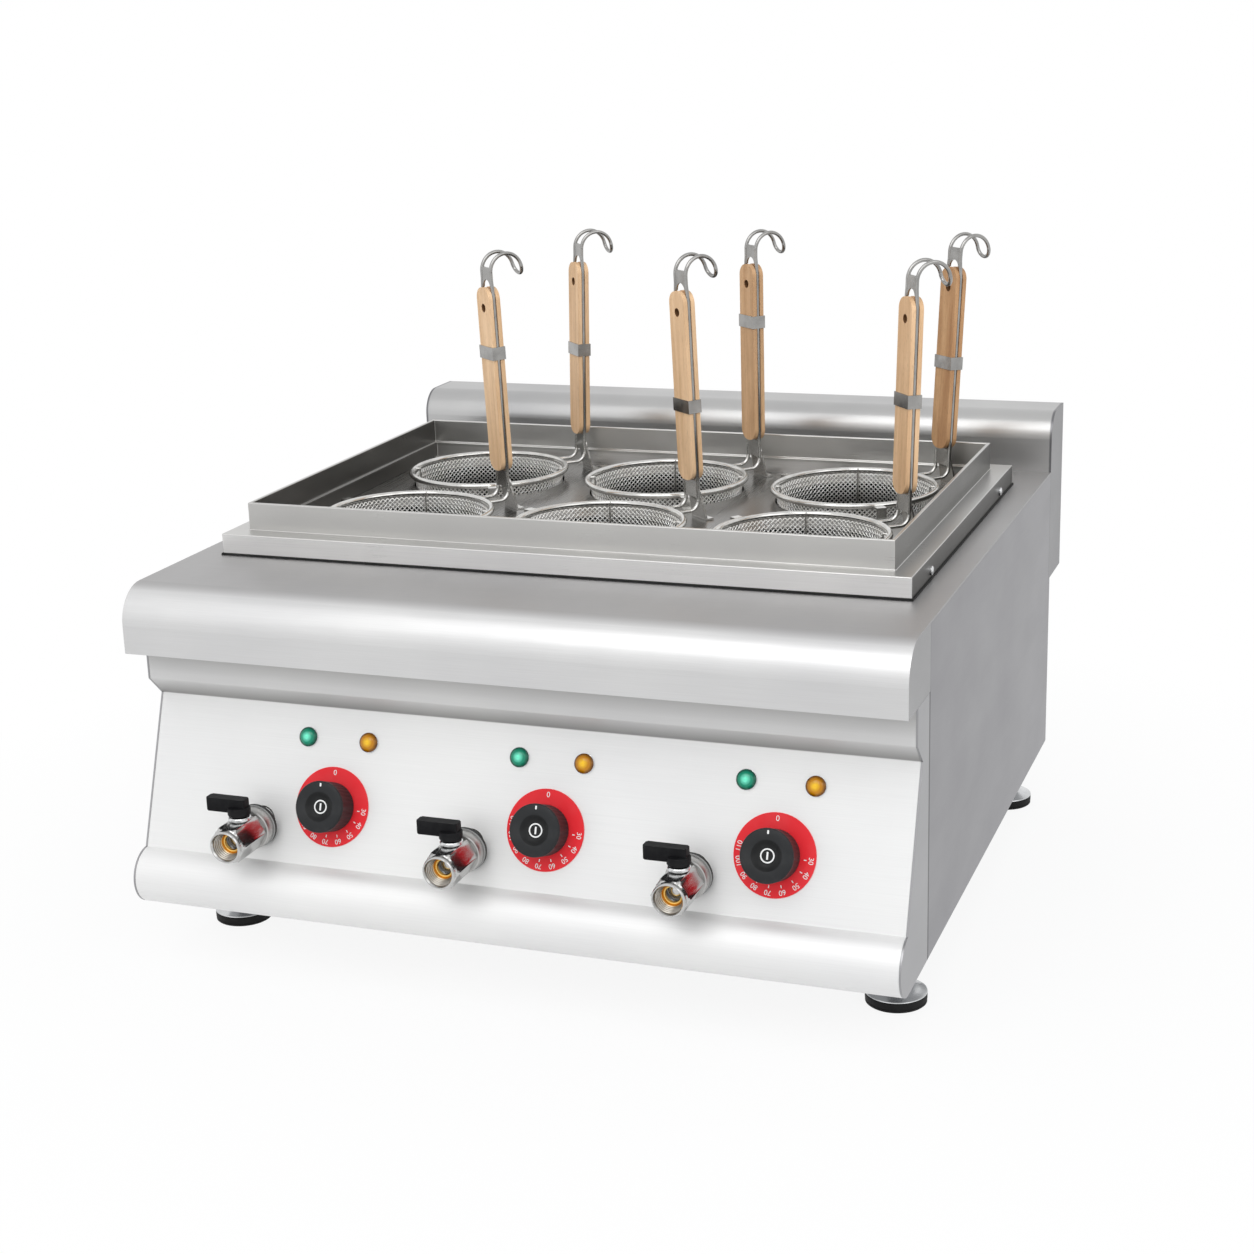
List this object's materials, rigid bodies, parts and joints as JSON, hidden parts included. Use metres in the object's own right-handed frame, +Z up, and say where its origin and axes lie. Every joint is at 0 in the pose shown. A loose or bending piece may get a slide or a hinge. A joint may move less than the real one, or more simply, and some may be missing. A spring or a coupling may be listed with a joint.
{
  "type": "pasta cooker",
  "caption": "Countertop electric pasta cooker: stainless body with heated wells, lift-out wire baskets with wooden handles, dials, lamps, drain valves and levelling feet.",
  "frame": {"origin": "middle of the overall box, on the counter under the feet", "axes": "+X to the right seen from the front, controls face -Y, +Z up"},
  "size_m": [0.6, 0.644, 0.5162],
  "materials": {
    "brushed_steel": "brushed",
    "panel_steel": "satin",
    "rack_steel": "brushed",
    "bright_steel": "polished",
    "wire_steel": "polished",
    "mesh_steel": "woven wire",
    "chrome": "polished",
    "heater_metal": "satin",
    "foot_steel": "polished, black rubber sole",
    "white_plastic": "matt",
    "copper": "bright",
    "pipe_brass": "bright",
    "dial_red": "gloss",
    "green_lens": "clear gloss",
    "amber_lens": "clear gloss",
    "dark_bezel": "polished",
    "black_rubber": "matt",
    "gland_plastic": "matt",
    "knob_plastic": "satin",
    "lever_plastic": "satin",
    "beech": "bare"
  },
  "bodies": {
    "cabinet": {"worktop": "brushed_steel", "left_side_panel": "brushed_steel", "right_side_panel": "brushed_steel", "left_cheek": "brushed_steel", "right_cheek": "brushed_steel", "control_panel": "panel_steel", "base_pan": "brushed_steel", "rear_panel": "brushed_steel", "splashback": "brushed_steel", "tank_collar": "brushed_steel", "collar_screws": "bright_steel", "rack_plate": "rack_steel", "heaters": "heater_metal", "thermostats": "white_plastic", "sensor_bulbs": "copper", "dial_plates": "dial_red", "green_lenses": "green_lens", "amber_lenses": "amber_lens", "lamp_holders": "dark_bezel", "drain_pipes": "pipe_brass", "valve_grommets": "black_rubber", "terminal_block": "white_plastic", "cable_gland": "gland_plastic", "well_left": "rack_steel", "well_middle": "rack_steel", "well_right": "rack_steel", "valve_body_left": "chrome", "valve_body_middle": "chrome", "valve_body_right": "chrome"},
    "knob_left": {"knob_left": "knob_plastic"},
    "drain_lever_left": {"valve_lever_left": "lever_plastic", "valve_ball_left": "pipe_brass"},
    "knob_middle": {"knob_middle": "knob_plastic"},
    "drain_lever_middle": {"valve_lever_middle": "lever_plastic", "valve_ball_middle": "pipe_brass"},
    "knob_right": {"knob_right": "knob_plastic"},
    "drain_lever_right": {"valve_lever_right": "lever_plastic", "valve_ball_right": "pipe_brass"},
    "foot_front_left": {"foot_front_left": "foot_steel"},
    "foot_front_right": {"foot_front_right": "foot_steel"},
    "foot_rear_left": {"foot_rear_left": "foot_steel"},
    "foot_rear_right": {"foot_rear_right": "foot_steel"},
    "basket_front_left": {"basket_frame_front_left": "wire_steel", "basket_cup_front_left": "mesh_steel", "basket_grip_front_left": "beech"},
    "basket_front_middle": {"basket_frame_front_middle": "wire_steel", "basket_cup_front_middle": "mesh_steel", "basket_grip_front_middle": "beech"},
    "basket_front_right": {"basket_frame_front_right": "wire_steel", "basket_cup_front_right": "mesh_steel", "basket_grip_front_right": "beech"},
    "basket_rear_left": {"basket_frame_rear_left": "wire_steel", "basket_cup_rear_left": "mesh_steel", "basket_grip_rear_left": "beech"},
    "basket_rear_middle": {"basket_frame_rear_middle": "wire_steel", "basket_cup_rear_middle": "mesh_steel", "basket_grip_rear_middle": "beech"},
    "basket_rear_right": {"basket_frame_rear_right": "wire_steel", "basket_cup_rear_right": "mesh_steel", "basket_grip_rear_right": "beech"}
  },
  "joints": [
    {"name": "knob_turn_left", "type": "hinge", "parent": "cabinet", "child": "knob_left", "pos_m": [-0.1435, -0.25994, 0.13462], "axis": [0, 0.9367, -0.3502], "range_deg": [0, 285]},
    {"name": "drain_turn_left", "type": "hinge", "parent": "cabinet", "child": "drain_lever_left", "pos_m": [-0.2015, -0.297, 0.11916], "axis": [0, 0, 1], "range_deg": [0, 90]},
    {"name": "knob_turn_middle", "type": "hinge", "parent": "cabinet", "child": "knob_middle", "pos_m": [0.029, -0.25994, 0.13462], "axis": [0, 0.9367, -0.3502], "range_deg": [0, 285]},
    {"name": "drain_turn_middle", "type": "hinge", "parent": "cabinet", "child": "drain_lever_middle", "pos_m": [-0.029, -0.297, 0.11916], "axis": [0, 0, 1], "range_deg": [0, 90]},
    {"name": "knob_turn_right", "type": "hinge", "parent": "cabinet", "child": "knob_right", "pos_m": [0.2015, -0.25994, 0.13462], "axis": [0, 0.9367, -0.3502], "range_deg": [0, 285]},
    {"name": "drain_turn_right", "type": "hinge", "parent": "cabinet", "child": "drain_lever_right", "pos_m": [0.1435, -0.297, 0.11916], "axis": [0, 0, 1], "range_deg": [0, 90]},
    {"name": "foot_screw_front_left", "type": "slide", "parent": "cabinet", "child": "foot_front_left", "axis": [0, 0, -1], "range_m": [0, 0.015]},
    {"name": "foot_screw_front_right", "type": "slide", "parent": "cabinet", "child": "foot_front_right", "axis": [0, 0, -1], "range_m": [0, 0.015]},
    {"name": "foot_screw_rear_left", "type": "slide", "parent": "cabinet", "child": "foot_rear_left", "axis": [0, 0, -1], "range_m": [0, 0.015]},
    {"name": "foot_screw_rear_right", "type": "slide", "parent": "cabinet", "child": "foot_rear_right", "axis": [0, 0, -1], "range_m": [0, 0.015]},
    {"name": "basket_lift_front_left", "type": "slide", "parent": "cabinet", "child": "basket_front_left", "axis": [0, 0, 1], "range_m": [0, 0.2]},
    {"name": "basket_lift_front_middle", "type": "slide", "parent": "cabinet", "child": "basket_front_middle", "axis": [0, 0, 1], "range_m": [0, 0.2]},
    {"name": "basket_lift_front_right", "type": "slide", "parent": "cabinet", "child": "basket_front_right", "axis": [0, 0, 1], "range_m": [0, 0.2]},
    {"name": "basket_lift_rear_left", "type": "slide", "parent": "cabinet", "child": "basket_rear_left", "axis": [0, 0, 1], "range_m": [0, 0.2]},
    {"name": "basket_lift_rear_middle", "type": "slide", "parent": "cabinet", "child": "basket_rear_middle", "axis": [0, 0, 1], "range_m": [0, 0.2]},
    {"name": "basket_lift_rear_right", "type": "slide", "parent": "cabinet", "child": "basket_rear_right", "axis": [0, 0, 1], "range_m": [0, 0.2]}
  ]
}
